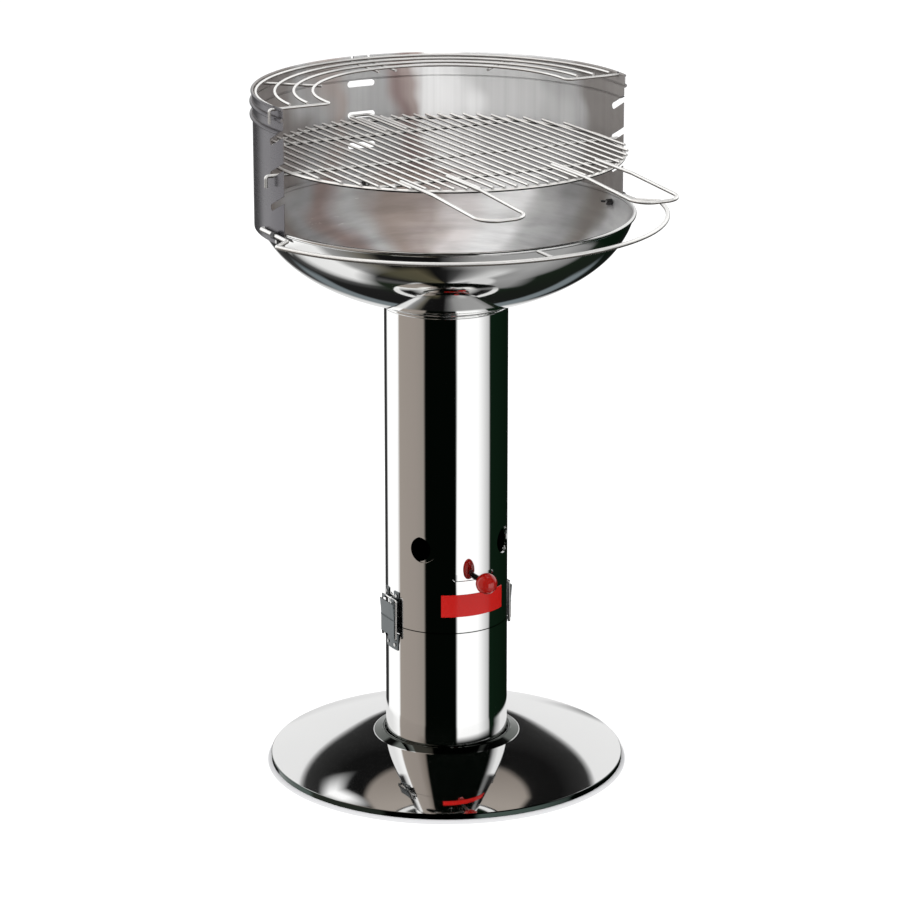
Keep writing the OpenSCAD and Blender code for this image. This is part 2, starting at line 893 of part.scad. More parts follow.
module windscreen() {
    start = screen_az;
    color(bright)
        difference() {
            at_azimuth(start)
                rotate_extrude(angle = 360 - 2 * start)
                    difference() {
                        union() {
                            translate([screen_r, screen_z0])
                                square([screen_t, screen_z1 - hem_r - screen_z0]);
                            translate([screen_out + 0.5, screen_z1 - hem_r])
                                circle(r = hem_r);
                            for (drop = [bead_drop, bead_drop + bead_step])
                                translate([screen_out + 1.3, screen_z1 - drop])
                                    circle(r = screen_bead_r);
                        }
                        for (drop = [bead_drop, bead_drop + bead_step])
                            translate([screen_r + 0.7, screen_z1 - drop])
                                circle(r = 0.6 * screen_bead_r);
                    }
            hang_heights()
                translate([0, notch_y, hang_z + notch_end])
                    face_side()
                        linear_extrude(height = 4 * screen_r, center = true)
                            notch_2d();
            hang_heights()
                translate([0, screen_out, tab_slot_z])
                    rotate([90, 0, 0])
                        linear_extrude(height = through, center = true)
                            slot_2d(tab_slot_w, tab_slot_h);
            for (side = [-1, 1]) {
                translate([side * screen_r, -rack_end_y, 0])
                    face_side()
                        rim_notch(rack_z);
                translate([side * rear_spoke_gap / 2, screen_r, 0])
                    rotate([90, 0, 0])
                        rim_notch(rack_z - rack_wire - weld);
            }
            screen_screw_places()
                straight_wire_x(screen_r - through, screen_r + through, screw_d + 0.6);
        }
}

module screen_screw_places() {
    for (az = [-screw_az, screw_az, 180])
        at_azimuth(az)
            translate([0, 0, screw_z])
                children();
}

clip_t = 1.2;
clip_w = 8;
clip_x = screen_out + 0.15;
spacer_d = 8;
nut_d = 9;
nut_x = wall_r(screw_z - nut_d / 2) - 1.1 * bowl_t - 0.1;
nut_h = 7;
screw_head_d = 7;
screw_head_h = 2.4;

module screen_screws() {
    color(steel)
        screen_screw_places() {
            straight_wire_x(nut_x - nut_h - 1.5, clip_x + clip_t + 1, screw_d);
            translate([clip_x + clip_t, 0, 0])
                rotate([0, 90, 0]) {
                    cylinder(h = screw_head_h / 2, d = screw_head_d);
                    translate([0, 0, screw_head_h / 2])
                        cylinder(h = screw_head_h / 2, d1 = screw_head_d, d2 = 0.7 * screw_head_d);
                }
        }
}

module screen_spacers() {
    inner_x = wall_r(screw_z + spacer_d / 2) + 0.1;
    outer_x = screen_r - spacer_d * spacer_d / 8 / screen_r - 0.05;
    color(steel)
        screen_screw_places()
            difference() {
                straight_wire_x(inner_x, outer_x, spacer_d);
                straight_wire_x(inner_x - 1, outer_x + 1, screw_d + 0.3);
            }
}

module wing_nuts() {
    color(black)
        screen_screw_places()
            translate([nut_x, 0, 0])
                rotate([0, -90, 0])
                    difference() {
                        union() {
                            cylinder(h = nut_h, d = nut_d);
                            translate([-0.9, 0, 0])
                                rotate([0, 90, 0])
                                    linear_extrude(height = 1.8)
                                        for (side = [-1, 1]) {
                                            polygon([
                                                [-1, 0], [-1, side * 5], [-8, side * 9.2],
                                                [-12.2, side * 8], [-nut_h, 0]
                                            ]);
                                            translate([-9.4, side * 8.6])
                                                circle(r = 3);
                                        }
                        }
                        translate([0, 0, -1])
                            cylinder(h = nut_h + 2, d = screw_d + 0.1);
                    }
}

module rear_washer() {
    color(steel)
        at_azimuth(180)
            translate([0, 0, screw_z])
                difference() {
                    straight_wire_x(clip_x, clip_x + clip_t, 2.4 * screw_d);
                    straight_wire_x(clip_x - 1, clip_x + clip_t + 1, screw_d + 0.3);
                }
}

// Front rail: one wire round the front, its ends cranked in to lie along the windscreen

rail_side_x = clip_x + clip_t + 0.6 + rail_d / 2;
clip_hole = rail_d + 1.2;

module rail_clips() {
    ring_x = rail_side_x / sin(screw_az);
    color(black)
        for (az = [-screw_az, screw_az])
            at_azimuth(az)
                difference() {
                    union() {
                        translate([ring_x, 0, rail_z])
                            straight_wire_y(-clip_w / 2, clip_w / 2, clip_hole + 2 * clip_t);
                        translate([clip_x, -clip_w / 2, screw_z - clip_w / 2])
                            cube([clip_t, clip_w, rail_z - screw_z + clip_w / 2]);
                    }
                    translate([ring_x, 0, rail_z])
                        straight_wire_y(-clip_w, clip_w, clip_hole);
                    translate([0, 0, screw_z])
                        straight_wire_x(clip_x - 1, clip_x + clip_t + 1, screw_d + 0.3);
                }
}

module front_rail() {
    leave = rail_r * [sin(rail_az), -cos(rail_az)];
    along = [cos(rail_az), sin(rail_az)];
    end_y = 24;
    color(bright)
        translate([0, 0, rail_z]) {
            wire_arc(rail_r, rail_d + bend_full, -rail_az, rail_az);
            for (side = [-1, 1])
                bent_wire([
                    for (p = [
                        leave - bend_lap * along, leave + 14 * along,
                        [rail_side_x, -rail_crank_y], [rail_side_x, end_y], [screen_out + weld, end_y]
                    ]) [side * p[0], p[1]]
                ], rail_d, 0.6 * rail_d);
        }
}

module rail_strut() {
    color(bright)
        at_azimuth(0)
            translate([0, 0, rail_z])
                straight_wire_x(bowl_r + rim_bead_r + weld, rail_r - rail_d / 2 - weld, strut_d);
}

// Cooking grid: it hangs by a long wire in the side notches and by a tab in the rear slot

ring_z = hang_z + grid_wire + weld;
bars_z = ring_z + grid_wire / 2 + weld + bar_d / 2;
handle_z = ring_z + grid_wire + weld;

module grid_ring() {
    color(bright)
        translate([0, 0, ring_z])
            wire_arc(grid_r, grid_wire, 0, 360);
}

module grid_bars() {
    end_r = grid_r + bar_past;
    n = floor((grid_r - grid_wire) / bar_pitch - 0.5);
    color(bright)
        translate([0, 0, bars_z])
            for (i = [0 : n], side = [-1, 1]) {
                x = (i + 0.5) * bar_pitch;
                half = sqrt(pow(end_r, 2) - pow(x, 2));
                translate([side * x, 0, 0])
                    straight_wire_y(-half, half, bar_d);
            }
}

// The wire that carries the grid, its ends bent down outside the windscreen
module grid_hanger() {
    end_x = screen_out + 1 + 1.5 * grid_wire;
    color(bright)
        translate([0, notch_y, hang_z])
            rotate([90, 0, 0])
                bent_wire([
                    [-end_x, -hook_len], [-end_x, 0], [end_x, 0], [end_x, -hook_len]
                ], grid_wire, 0.7 * grid_wire);
}

module grid_cross_wires() {
    half = sqrt(pow(grid_r, 2) - pow(cross_y, 2)) - 0.8 * grid_wire;
    color(bright)
        for (side = [-1, 1])
            translate([0, side * cross_y, ring_z])
                straight_wire_x(-half, half, grid_wire);
}

// Two loops of wire that lie on the ring and dip to their ends
module grid_handles() {
    root_y = cross_y + 3;
    dip_y = grid_r + grid_wire / 2 + bar_past;
    handle_reach = grid_r + handle_len;
    handle_x = [handle_in, handle_in + handle_w];
    color(bright)
        for (side = [-1, 1]) {
            dip = atan2(handle_drop, handle_reach - dip_y);
            span = norm([handle_drop, handle_reach - dip_y]);
            for (x = handle_x)
                translate([side * x, 0, handle_z]) {
                    straight_wire_y(-dip_y, -root_y, grid_wire);
                    translate([0, -dip_y, 0])
                        sphere(d = grid_wire + 0.02);
                }
            translate([0, -dip_y, handle_z])
                rotate([dip, 0, 0])
                    bent_wire([
                        [side * handle_x[0], 0], [side * handle_x[0], -span],
                        [side * handle_x[1], -span], [side * handle_x[1], 0]
                    ], grid_wire, handle_bend);
        }
}

module grid_tab() {
    half = bar_pitch;
    root_y = cross_y - 4;
    end_y = screen_out + tab_past - rack_wire / 2;
    color(bright)
        translate([0, 0, tab_z])
            bent_wire([
                [-half, root_y], [-half, end_y], [half, end_y], [half, root_y]
            ], rack_wire, 1.2 * rack_wire);
}

// Warming rack: curved wires inside the top of the windscreen, hooked over its edge

spoke_z = rack_z - rack_wire - weld;

module rack_frame() {
    bend = 2 * rack_wire;
    end_x = screen_out + 2 + 1.5 * rack_wire;
    joint_x = rack_r0 + 2 * rack_step;
    color(bright)
        translate([0, 0, rack_z]) {
            wire_arc(rack_r0, rack_wire + bend_full, 90, 270);
            for (side = [-1, 1]) {
                bent_wire([
                    [side * rack_r0, bend_lap], [side * rack_r0, -rack_end_y],
                    [side * joint_x, -rack_end_y]
                ], rack_wire, bend);
                translate([0, -rack_end_y, 0])
                    rotate([90, 0, 0])
                        bent_wire([
                            [side * (joint_x - bend_lap), 0], [side * end_x, 0],
                            [side * end_x, -rack_hook]
                        ], rack_wire + bend_full, 0.8 * rack_wire);
            }
        }
}

module rack_arcs() {
    color(bright)
        translate([0, 0, rack_z])
            for (i = [1 : 3]) {
                r = rack_r0 + i * rack_step;
                from_az = 90 + asin(3 / r);
                wire_arc(r, rack_wire, from_az, 360 - from_az);
            }
}

// Two side spokes and a rear loop that carry the curved wires
module rack_spokes() {
    end_y = screen_out + 2 + 1.5 * rack_wire;
    half = rear_spoke_gap / 2;
    color(bright)
        translate([0, 0, spoke_z]) {
            for (az = [-spoke_az, spoke_az])
                at_azimuth(az)
                    straight_wire_x(rack_r0 - rack_wire, rack_r1 + 1, rack_wire);
            for (side = [-1, 1])
                translate([side * half, 0, 0])
                    rotate([90, 0, 90])
                        bent_wire([
                            [rack_r0 - rack_wire, 0], [end_y, 0], [end_y, -rack_hook]
                        ], rack_wire, 0.8 * rack_wire);
        }
}

foot_dish();
foot_bolts();
foot_nuts();
ash_pot();
latch_bases();
latch_pins();
latch_keepers();
latch_rivets();
lever_left();
lever_right();
bail_left();
bail_right();
column();
sleeve_ledge();
air_sleeve();
knob_bolt();
knob_ball();
label_plate();
bowl();
coal_ring();
coal_bars();
coal_loops();
windscreen();
screen_screws();
screen_spacers();
wing_nuts();
rear_washer();
rail_clips();
front_rail();
rail_strut();
grid_ring();
grid_bars();
grid_hanger();
grid_cross_wires();
grid_handles();
grid_tab();
rack_frame();
rack_arcs();
rack_spokes();
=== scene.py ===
"""Dresses the charcoal grill in polished, satin and painted metal and sets it in a white studio."""

import math

import bpy
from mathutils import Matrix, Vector

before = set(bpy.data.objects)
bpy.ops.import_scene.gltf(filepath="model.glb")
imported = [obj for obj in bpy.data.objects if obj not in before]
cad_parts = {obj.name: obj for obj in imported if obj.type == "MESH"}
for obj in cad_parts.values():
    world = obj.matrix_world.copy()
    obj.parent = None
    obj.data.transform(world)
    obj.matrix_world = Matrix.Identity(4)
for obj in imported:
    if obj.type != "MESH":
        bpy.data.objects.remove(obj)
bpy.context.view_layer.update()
scene = bpy.context.scene
scene.view_settings.view_transform = "Standard"
scene.view_settings.look = "None"

# Camera: the photograph's direction, distance and framing

CAM_AZIMUTH = math.radians(-27.69)
CAM_ELEVATION = math.radians(16.8)
CAM_DISTANCE = 5.044
CAM_SENSOR = 36
CAM_FOCAL = 3613.6 / 915 * CAM_SENSOR
AIM_SIDE = 0.01575
AIM_HEIGHT = 0.4407

to_camera = Vector((math.sin(CAM_AZIMUTH), -math.cos(CAM_AZIMUTH), 0))
to_right = Vector((math.cos(CAM_AZIMUTH), math.sin(CAM_AZIMUTH), 0))


def make_camera():
    data = bpy.data.cameras.new("camera")
    data.lens = CAM_FOCAL
    data.sensor_width = CAM_SENSOR
    data.clip_start, data.clip_end = 0.05, 60
    cam = bpy.data.objects.new("camera", data)
    scene.collection.objects.link(cam)
    aim = to_right * AIM_SIDE + Vector((0, 0, AIM_HEIGHT))
    back = to_camera * math.cos(CAM_ELEVATION) + Vector((0, 0, math.sin(CAM_ELEVATION)))
    cam.location = aim + back * CAM_DISTANCE
    cam.rotation_mode = "QUATERNION"
    cam.rotation_quaternion = (-back).to_track_quat("-Z", "Y")
    scene.camera = cam


# Node helpers

UPWARD = (0, 0, 1)
LEVEL = (1, 1, 0)


def colour(value):
    if isinstance(value, (int, float)):
        return (value, value, value, 1)
    return (*value[:3], 1)


class Tree:
    """A node tree with short calls for the nodes used here."""

    def __init__(self, tree):
        self.tree = tree
        tree.nodes.clear()

    def node(self, kind, **settings):
        n = self.tree.nodes.new(kind)
        for key, value in settings.items():
            setattr(n, key, value)
        return n

    def put(self, socket, value):
        if isinstance(value, bpy.types.NodeSocket):
            self.tree.links.new(value, socket)
        elif value is not None:
            socket.default_value = value

    def math(self, op, a, b=None):
        n = self.node("ShaderNodeMath", operation=op)
        self.put(n.inputs[0], a)
        self.put(n.inputs[1], b)
        return n.outputs[0]

    def vector(self, op, a, b=None, scale=None):
        n = self.node("ShaderNodeVectorMath", operation=op)
        self.put(n.inputs[0], a)
        if b is not None:
            self.put(n.inputs[1], b)
        if scale is not None:
            self.put(n.inputs["Scale"], scale)
        return n.outputs["Value"] if op in ("DOT_PRODUCT", "LENGTH") else n.outputs[0]

    def pair(self, x, y):
        n = self.node("ShaderNodeCombineXYZ")
        self.put(n.inputs[0], x)
        self.put(n.inputs[1], y)
        return n.outputs[0]

    def height(self, place):
        return self.vector("DOT_PRODUCT", place, UPWARD)

    def radius(self, place):
        return self.vector("LENGTH", self.vector("MULTIPLY", place, LEVEL))

    def normal(self):
        return self.node("ShaderNodeNewGeometry").outputs["Normal"]

    def ramp(self, fac, stops, smooth=False):
        n = self.node("ShaderNodeValToRGB")
        n.color_ramp.interpolation = "EASE" if smooth else "LINEAR"
        band = n.color_ramp.elements
        while len(band) > 1:
            band.remove(band[-1])
        band[0].position = stops[0][0]
        band[0].color = colour(stops[0][1])
        for place, value in stops[1:]:
            band.new(place).color = colour(value)
        self.put(n.inputs[0], fac)
        return n.outputs[0]

    def mix(self, fac, a, b):
        n = self.node("ShaderNodeMix", data_type="RGBA")
        self.put(n.inputs[0], fac)
        self.put(n.inputs[6], colour(a) if not isinstance(a, bpy.types.NodeSocket) else a)
        self.put(n.inputs[7], colour(b) if not isinstance(b, bpy.types.NodeSocket) else b)
        return n.outputs[2]

    def noise(self, vector, scale, detail=3.0, rough=0.5):
        n = self.node("ShaderNodeTexNoise", noise_dimensions="3D")
        self.put(n.inputs["Vector"], vector)
        n.inputs["Scale"].default_value = scale
        n.inputs["Detail"].default_value = detail
        n.inputs["Roughness"].default_value = rough
        return n.outputs["Fac"]

    def stretch(self, vector, scale):
        n = self.node("ShaderNodeMapping")
        self.put(n.inputs["Vector"], vector)
        n.inputs["Scale"].default_value = scale
        return n.outputs[0]

    def between(self, value, low, high, out_low=0.0, out_high=1.0):
        """The value moved from the range low to high into the range out_low to out_high, held at its ends."""
        n = self.node("ShaderNodeMapRange")
        self.put(n.inputs[0], value)
        for i, bound in enumerate((low, high, out_low, out_high)):
            n.inputs[i + 1].default_value = bound
        return n.outputs[0]

    def bump(self, height, strength, distance, normal=None):
        n = self.node("ShaderNodeBump")
        n.inputs["Strength"].default_value = strength
        n.inputs["Distance"].default_value = distance
        self.put(n.inputs["Height"], height)
        self.put(n.inputs["Normal"], normal)
        return n.outputs[0]


def material(name):
    mat = bpy.data.materials.new(name)
    mat.use_nodes = True
    t = Tree(mat.node_tree)
    shader = t.node("ShaderNodeBsdfPrincipled")
    out = t.node("ShaderNodeOutputMaterial")
    t.put(out.inputs[0], shader.outputs[0])
    place = t.node("ShaderNodeTexCoord").outputs["Object"]
    return mat, t, shader, place


# Turned surfaces: the true normal of a curve spun about the upright axis, free of the facets' small steps

# How well a face has to agree with the curve to take its normal, as the cosine of the angle between them
AGREES_FROM, AGREES_FULLY = 0.985, 0.988


def curve_in_metres(*points):
    return [(r / 1000, z / 1000) for r, z in points]


# The part's own curves, as radius and height in millimetres: the foot's dome from its middle outward, and the
# bowl's wall from its neck up
FOOT_CURVE = curve_in_metres((104, 37), (152.1, 35.3), (200.3, 26.3), (248.4, 7.8))
BOWL_CURVE = curve_in_metres((88, 669.9), (97.8, 671.7), (233.2, 700.1), (257.5, 790.9))


def bezier_run(handles, steps=20):
    """Points and slopes, in radians above the outward direction, along a cubic curve of (radius, height)."""
    a, b, c, d = (Vector(h) for h in handles)
    run = []
    for i in range(steps + 1):
        q = i / steps
        spot = a * (1 - q) ** 3 + b * 3 * q * (1 - q) ** 2 + c * 3 * q * q * (1 - q) + d * q ** 3
        way = (b - a) * (1 - q) ** 2 + (c - b) * 2 * q * (1 - q) + (d - c) * q * q
        run.append((spot, math.atan2(way[1], way[0])))
    return run


def share_along(point, start, end):
    """How far a point lies from start to end, as the mean of its shares in radius and in height."""
    return sum((point[k] - start[k]) / (end[k] - start[k]) for k in (0, 1)) / 2


def turned_normal(t, place, handles, flip):
    """The normal on the curve's lower side, or its upper side where flip is 1; other faces keep their own."""
    run = bezier_run(handles)
    start, end = run[0][0], run[-1][0]
    shares = [min(max(share_along(spot, start, end), 0), 1) for spot, _ in run]
    by_radius = t.between(t.radius(place), start[0], end[0])
    by_height = t.between(t.height(place), start[1], end[1])
    here = t.math("MULTIPLY", t.math("ADD", by_radius, by_height), 0.5)
    slopes = t.ramp(here, [(share, angle / math.pi + 0.5) for share, (_, angle) in zip(shares, run)])
    slope = t.math("MULTIPLY", t.math("SUBTRACT", slopes, 0.5), math.pi)
    outward = t.vector("NORMALIZE", t.vector("MULTIPLY", place, LEVEL))
    true = t.vector("SUBTRACT", t.vector("SCALE", outward, scale=t.math("SINE", slope)),
                    t.vector("SCALE", UPWARD, scale=t.math("COSINE", slope)))
    true = t.vector("SCALE", true, scale=t.between(flip, 0, 1, 1, -1))
    own = t.normal()
    blend = t.node("ShaderNodeMix", data_type="VECTOR")
    t.put(blend.inputs[0], t.between(t.vector("DOT_PRODUCT", true, own), AGREES_FROM, AGREES_FULLY))
    t.put(blend.inputs[4], own)
    t.put(blend.inputs[5], true)
    return blend.outputs[1]


# Finishes

# The joint between the ash pot and the column, painted as a line of shade: its height, and half its line's
# width within and past the blur
SEAM_HEIGHT = 0.2102
JOINT_INNER, JOINT_OUTER = 0.0006, 0.0009
JOINT_PAINTED_SHADE = (0.03, 0.035, 0.03)
# A darker tone on a tube's inside
TUBE_INSIDE_TONE = (0.03, 0.03, 0.028)
# The foot's collar darkened as painted shade where the column stands, its folded rim darkened as a painted
# dark reflection, and the blur of their edges
COLLAR_RADIUS = 0.1031
COLLAR_PAINTED_SHADE = (0.10, 0.11, 0.10)
RIM_HEIGHT = 0.0073
RIM_PAINTED_REFLECTION = (0.05, 0.07, 0.062)
EDGE_BLUR = 0.0005
# Polishing marks: rings to the metre, how fast a ring changes with the angle, and upright marks to the degree
RINGS_PER_METRE = 55
RING_DRIFT = 0.025
MARKS_PER_DEGREE = 0.3
MARK_TONE = (0.06, 0.055, 0.055)

# Painted reflections inside the bowl and the windscreen: a tone for each angle from the middle of the back
BOWL_PAINTED_REFLECTIONS = (
    (-90, (0.24, 0.21, 0.20)), (-66, (0.26, 0.23, 0.21)), (-54, 0.38), (-42, (0.35, 0.27, 0.25)),
    (-28, 0.62), (-15, (0.46, 0.38, 0.34)), (-5, (0.56, 0.48, 0.45)), (3, (0.92, 0.87, 0.86)), (16, 1.0),
    (28, 0.95), (37, 0.52), (47, 0.36), (60, (0.23, 0.21, 0.19)), (72, 0.55), (82, 0.60), (90, 0.50),
)
SCREEN_PAINTED_REFLECTIONS = (
    (-90, (0.20, 0.18, 0.17)), (-62, (0.22, 0.20, 0.19)), (-51, 0.40), (-41, (0.42, 0.37, 0.35)),
    (-33, 0.48), (-22, 0.42), (-15, (0.28, 0.21, 0.20)), (-11, (0.40, 0.33, 0.31)), (-6, 0.95), (0, 1.0),
    (6, 0.92), (13, 0.66), (30, 0.62), (38, 0.46), (46, (0.24, 0.225, 0.215)), (90, (0.20, 0.185, 0.175)),
)


def uneven_gloss(t, rough, lines, smudge, smudge_share=0.3):
    """Roughness that is least where neither the drawn lines nor the smudges show."""
    rise = t.math("ADD", t.between(lines, 0.3, 0.7, 0, 0.35 * rough),
                  t.between(smudge, 0.35, 0.7, 0, smudge_share * rough))
    return t.math("ADD", rise, rough * 0.7)


def tube_inside_and_joint_shade(t, place, tone, seam):
    """A darker tone on the tube's inside, and a line of painted shade round it in the joint at the seam's
    height.
    """
    facing = t.vector("DOT_PRODUCT", t.normal(), t.vector("MULTIPLY", place, LEVEL))
    tone = t.mix(t.between(facing, -0.01, -0.03), tone, TUBE_INSIDE_TONE)
    off = t.math("ABSOLUTE", t.math("SUBTRACT", t.height(place), seam))
    return t.mix(t.between(off, JOINT_INNER, JOINT_OUTER), JOINT_PAINTED_SHADE, tone)


def metal(name, tint, rough, fleck, streak=(1, 1, 1), streak_scale=40, metallic=1.0, wave=None, seam=None,
          underside_painted_shade=None):
    """A bare metal, uneven in tone and gloss, with fine streaks along the way it was drawn or polished.

    Where seam gives a height, the piece is a tube, darker on its inside, with a line of painted shade in its
    joint there.
    For a wire, a tone given for its lower side is painted there as shade. A wave makes the sheet swell a
    little.
    """
    mat, t, shader, place = material(name)
    lines = t.noise(t.stretch(place, streak), streak_scale, 4, 0.6)
    smudge = t.noise(place, 9, 3, 0.55)
    tone = t.mix(lines, tuple(c * (1 - fleck) for c in tint), tint)
    # A tube is darker on its inside and has a line of painted shade in its joint.
    if seam:
        tone = tube_inside_and_joint_shade(t, place, tone, seam)
    # A wire's lower side takes the given tone as painted shade, by which way the surface faces.
    if underside_painted_shade:
        tone = t.mix(t.between(t.height(t.normal()), -0.15, 0.3), underside_painted_shade, tone)
    t.put(shader.inputs["Base Color"], tone)
    t.put(shader.inputs["Roughness"], uneven_gloss(t, rough, lines, smudge))
    shader.inputs["Metallic"].default_value = metallic
    if wave:
        t.put(shader.inputs["Normal"], t.bump(t.noise(place, 5.5, 2, 0.5), wave, 0.01))
    return mat


def painted_inner_reflections(t, place, reflection_tones, turned):
    """Painted reflections as soft upright bands of light and dark, some of them warm, with polishing marks.

    The marks run round a turned sheet, and up and down a plain one.
    """
    right = t.vector("DOT_PRODUCT", place, tuple(to_right))
    back = t.vector("DOT_PRODUCT", place, tuple(-to_camera))
    from_back = t.math("MULTIPLY", t.math("ARCTAN2", right, back), 180 / math.pi)
    sway = t.between(t.noise(place, 7, 2, 0.5), 0.3, 0.7, -9, 9)
    across = t.between(t.math("ADD", from_back, sway), -90, 90)
    # The bands are painted reflections, set by the angle round the upright axis.
    bands = t.ramp(across, [(angle / 180 + 0.5, tone) for angle, tone in reflection_tones], True)
    if turned:
        grain = t.pair(t.math("MULTIPLY", t.radius(place), RINGS_PER_METRE),
                       t.math("MULTIPLY", from_back, RING_DRIFT))
        depth = 0.3
    else:
        grain = t.pair(t.math("MULTIPLY", from_back, MARKS_PER_DEGREE), 0.0)
        depth = 0.14
    marks = t.noise(grain, 1, 4, 0.6)
    return t.mix(t.between(marks, 0.38, 0.66, 0.0, depth), bands, MARK_TONE)


def two_sided_sheet(name, outer, rough, metallic, reflection_tones, curve=None):
    """Sheet with a polished outside and a satin inside with painted reflections, told apart by which way the
    surface faces.

    Roughness and metallic are given for the outside and for the inside.
    """
    mat, t, shader, place = material(name)
    facing = t.node("ShaderNodeTexCoord").outputs["Normal"]
    outward = t.vector("DOT_PRODUCT", facing, t.vector("MULTIPLY", place, LEVEL))
    inside = t.between(outward, 0.005, -0.005)
    t.put(shader.inputs["Base Color"], t.mix(inside, outer, painted_inner_reflections(t, place, reflection_tones, curve is not None)))
    t.put(shader.inputs["Metallic"], t.between(inside, 0, 1, *metallic))
    lines = t.noise(t.stretch(place, (1, 1, 14)), 26, 5, 0.65)
    smudge = t.noise(place, 7, 3, 0.55)
    vary = t.math("ADD", t.between(lines, 0.3, 0.7, 0.96, 1.04), t.between(smudge, 0.3, 0.7, -0.08, 0.12))
    t.put(shader.inputs["Roughness"], t.math("MULTIPLY", t.between(inside, 0, 1, *rough), vary))
    true = turned_normal(t, place, curve, inside) if curve else None
    t.put(shader.inputs["Normal"], t.bump(t.noise(place, 5, 2, 0.5), 0.08, 0.004, true))
    return mat


def dish_steel(name, tint, rough):
    """The foot: polished dome, a folded rim on the floor darkened as a painted reflection, and a collar where
    the pot stands darkened as painted shade.
    """
    mat, t, shader, place = material(name)
    lines = t.noise(place, 12, 4, 0.6)
    smudge = t.noise(place, 9, 3, 0.55)
    tone = t.mix(lines, tuple(c * 0.96 for c in tint), tint)
    # The collar is darkened as painted shade and the rim as a painted dark reflection.
    past_collar = t.between(t.radius(place), COLLAR_RADIUS - EDGE_BLUR, COLLAR_RADIUS + EDGE_BLUR)
    above_rim = t.between(t.height(place), RIM_HEIGHT - EDGE_BLUR, RIM_HEIGHT + EDGE_BLUR)
    tone = t.mix(above_rim, RIM_PAINTED_REFLECTION, t.mix(past_collar, COLLAR_PAINTED_SHADE, tone))
    t.put(shader.inputs["Base Color"], tone)
    t.put(shader.inputs["Roughness"], uneven_gloss(t, rough, lines, smudge, 0.4))
    shader.inputs["Metallic"].default_value = 1
    t.put(shader.inputs["Normal"], turned_normal(t, place, FOOT_CURVE, 1.0))
    return mat


def coated(name, tint, rough, coat, grain, depth, specular=0.5):
    """Paint, enamel or plastic with a slight grain and uneven gloss."""
    mat, t, shader, place = material(name)
    patch = t.noise(place, 30, 3, 0.5)
    t.put(shader.inputs["Base Color"], t.mix(patch, tuple(c * 0.82 for c in tint), tint))
    t.put(shader.inputs["Roughness"], t.between(patch, 0.3, 0.7, rough * 0.85, rough * 1.2))
    shader.inputs["Specular IOR Level"].default_value = specular
    shader.inputs["Coat Weight"].default_value = coat
    shader.inputs["Coat Roughness"].default_value = 0.06
    t.put(shader.inputs["Normal"], t.bump(t.noise(place, grain, 2, 0.5), depth, 0.001))
    return mat


def dress(mat, *nodes):
    for name in nodes:
        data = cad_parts[name].data
        data.materials.clear()
        data.materials.append(mat)


def dress_sheet():
    polished = metal("polished_steel", (0.93, 0.93, 0.925), 0.035, 0.03, streak=(1, 1, 0.05), streak_scale=30,
                     wave=0.02, seam=SEAM_HEIGHT)
    dress(polished, "column", "ash_pot", "air_sleeve")
    dress(dish_steel("polished_foot", (0.92, 0.92, 0.915), 0.045), "foot_dish")
    bowl = two_sided_sheet("bowl_sheet", (0.90, 0.90, 0.89), rough=(0.05, 0.24), metallic=(1, 0.2),
                           reflection_tones=BOWL_PAINTED_REFLECTIONS, curve=BOWL_CURVE)
    dress(bowl, "bowl")
    screen = two_sided_sheet("screen_sheet", (0.125, 0.12, 0.13), rough=(0.26, 0.22), metallic=(0.88, 0.2),
                             reflection_tones=SCREEN_PAINTED_REFLECTIONS)
    dress(screen, "windscreen")


def dress_wires():
    # Each wire's lower side is darkened by its given tone as painted shade.
    bright = metal("bright_wire", (0.97, 0.96, 0.94), 0.18, 0.08, streak_scale=120, metallic=0.6,
                   underside_painted_shade=(0.10, 0.09, 0.08))
    dress(bright, "front_rail", "rail_strut", "grid_hanger", "grid_handles", "grid_tab", "bail_left",
          "bail_right")
    grid = metal("grid_wire", (1.0, 0.98, 0.95), 0.18, 0.12, streak_scale=120, metallic=0.5,
                 underside_painted_shade=(0.012, 0.01, 0.009))
    dress(grid, "grid_ring", "grid_bars", "grid_cross_wires")
    rack = metal("rack_wire", (0.95, 0.94, 0.92), 0.18, 0.08, streak_scale=120, metallic=0.6,
                 underside_painted_shade=(0.14, 0.12, 0.11))
    dress(rack, "rack_frame", "rack_arcs", "rack_spokes")
    used = metal("grate_wire", (0.52, 0.50, 0.48), 0.38, 0.35, streak_scale=90)
    dress(used, "coal_ring", "coal_bars", "coal_loops")


def dress_fittings():
    plain = metal("plain_steel", (0.66, 0.66, 0.65), 0.30, 0.15, streak=(1, 1, 0.2), streak_scale=60)
    dress(plain, "foot_bolts", "foot_nuts", "latch_pins", "latch_rivets", "sleeve_ledge", "screen_screws",
          "screen_spacers", "rear_washer")
    latch = metal("latch_steel", (0.15, 0.165, 0.17), 0.28, 0.25, streak=(1, 1, 0.3), streak_scale=70)
    dress(latch, "latch_bases", "latch_keepers", "lever_left", "lever_right")
    dress(metal("bolt_steel", (0.22, 0.21, 0.20), 0.3, 0.2, streak_scale=90), "knob_bolt")
    label = coated("red_enamel", (0.40, 0.007, 0.005), 0.22, coat=0.1, grain=300, depth=0.01, specular=0.2)
    dress(label, "label_plate")
    dress(coated("red_knob", (0.25, 0.005, 0.003), 0.14, coat=0.6, grain=200, depth=0.01), "knob_ball")
    dress(coated("black_plastic", (0.018, 0.018, 0.018), 0.38, coat=0, grain=500, depth=0.08), "wing_nuts")
    dress(coated("black_paint", (0.02, 0.02, 0.02), 0.35, coat=0.2, grain=500, depth=0.05), "rail_clips")


# Studio: white all round for the camera and for plain light, and a set of soft boards for the reflections.
# Azimuths are in degrees from the camera's direction, positive to its right. Elevations are in degrees.

